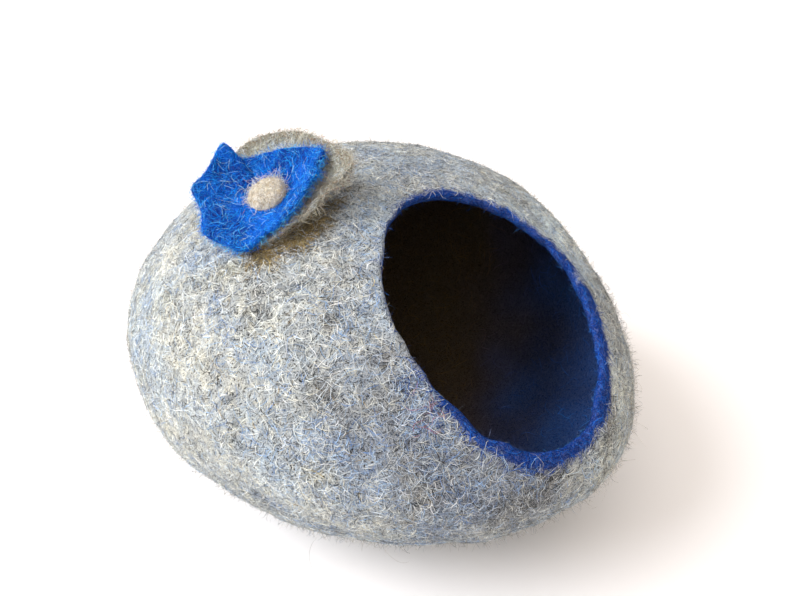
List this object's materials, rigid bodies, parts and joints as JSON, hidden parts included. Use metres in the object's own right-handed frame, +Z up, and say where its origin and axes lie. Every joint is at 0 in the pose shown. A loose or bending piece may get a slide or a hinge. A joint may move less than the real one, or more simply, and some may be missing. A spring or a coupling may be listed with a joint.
{
  "type": "felt cat cave",
  "caption": "Egg-shaped wet-felted cat cave with a slanting oval mouth and a two-layer felt flower on its crown.",
  "frame": {"origin": "centre of the flat underside that rests on the floor", "axes": "+Z up, the mouth faces -Y, +X is to the right of the mouth's front seen from behind it"},
  "size_m": [0.4022, 0.4316, 0.291],
  "materials": {
    "felt_blue_grey": "matt wet-felted wool",
    "felt_olive_grey": "matt wet-felted wool",
    "felt_royal_blue": "matt wet-felted wool",
    "felt_cream": "matt wet-felted wool"
  },
  "bodies": {
    "root": {"shell": "felt_blue_grey", "flower_outer": "felt_olive_grey", "flower_inner": "felt_royal_blue", "flower_button": "felt_cream"}
  },
  "joints": []
}
